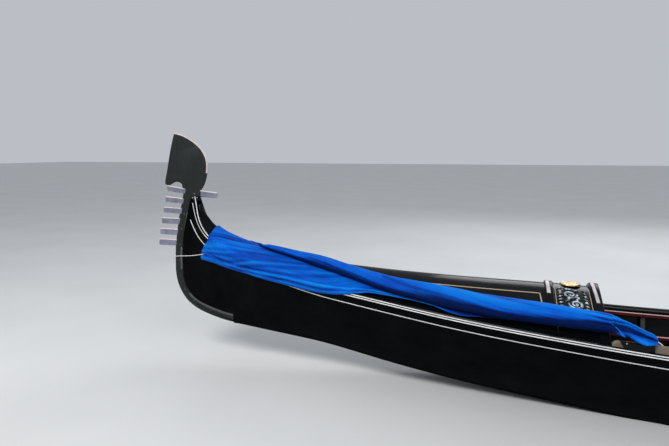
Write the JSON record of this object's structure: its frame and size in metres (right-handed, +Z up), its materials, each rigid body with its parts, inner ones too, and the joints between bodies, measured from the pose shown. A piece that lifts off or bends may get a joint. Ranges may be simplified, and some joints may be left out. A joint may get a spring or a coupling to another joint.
{
  "type": "gondola boat",
  "caption": "Long black asymmetric rowing boat with a toothed bow iron, crowned decks, an open well with seats, and a blue cover furled over the bow.",
  "frame": {"origin": "on the waterline, amidships, in the plane of the stem and the stern post", "axes": "+X towards the bow, +Y to port, +Z up"},
  "size_m": [10.884, 1.427, 1.861],
  "materials": {
    "hull_black": "glossy black paint on wood",
    "rail_black": "glossy black paint on wood",
    "deck_black": "glossy black paint on wood",
    "iron": "dark iron with bright worn edges",
    "brass": "polished",
    "red_paint": "dark red paint on wood",
    "rail_wood": "worn varnish",
    "boards": "worn boards",
    "seat_black": "black lacquer",
    "black_leather": "satin",
    "red_velvet": "pile",
    "blue_canvas": "woven cover cloth",
    "white_cord": "twisted cord",
    "walnut": "oiled"
  },
  "bodies": {
    "hull": {"hull_port_side": "hull_black", "hull_starboard_side": "hull_black", "bow_bottom": "hull_black", "fore_bottom": "hull_black", "middle_bottom": "hull_black", "aft_bottom": "hull_black", "stern_bottom": "hull_black", "stem_post": "hull_black", "stern_post": "hull_black", "port_gunwale": "rail_black", "starboard_gunwale": "rail_black", "starboard_inner_rail": "rail_black", "port_fore_rowlock_block": "rail_black", "forcola_block": "rail_black", "foredeck": "deck_black", "fore_cross_beam": "deck_black", "carved_deck_panel": "deck_black", "foredeck_end_beam": "deck_black", "stern_deck_beam": "deck_black", "stern_deck": "deck_black", "bow_iron": "iron", "stern_iron": "iron", "deck_medallion": "brass", "port_seahorse": "brass", "starboard_seahorse": "brass", "bow_bulkhead": "red_paint", "stern_bulkhead": "red_paint", "port_stringer": "red_paint", "starboard_stringer": "red_paint", "port_inner_rail": "rail_wood", "fore_thwart": "rail_wood", "middle_thwart": "rail_wood", "aft_thwart": "rail_wood", "frames": "boards", "fore_floorboards": "boards", "middle_floorboards": "boards", "aft_floorboards": "boards", "rowing_platform": "boards", "port_side_bench": "seat_black", "starboard_side_bench": "seat_black", "main_seat_base": "seat_black", "main_seat_backrest": "seat_black", "footrest": "seat_black", "port_bench_cushion": "black_leather", "starboard_bench_cushion": "black_leather", "main_seat_cushion": "red_velvet", "main_seat_back_cushion": "red_velvet", "tarp": "blue_canvas", "tarp_bow_tie": "white_cord", "tarp_aft_tie": "white_cord", "forcola": "walnut"},
    "bow_door": {"bow_locker_door": "red_paint"},
    "stern_door": {"stern_locker_door": "red_paint"}
  },
  "joints": [
    {"name": "bow_door_hinge", "type": "hinge", "parent": "hull", "child": "bow_door", "pos_m": [2.455, -0.155, 0.29], "axis": [0, 0, 1], "range_deg": [0, 100]},
    {"name": "stern_door_hinge", "type": "hinge", "parent": "hull", "child": "stern_door", "pos_m": [-2.915, -0.155, 0.29], "axis": [0, 0, -1], "range_deg": [0, 100]}
  ]
}
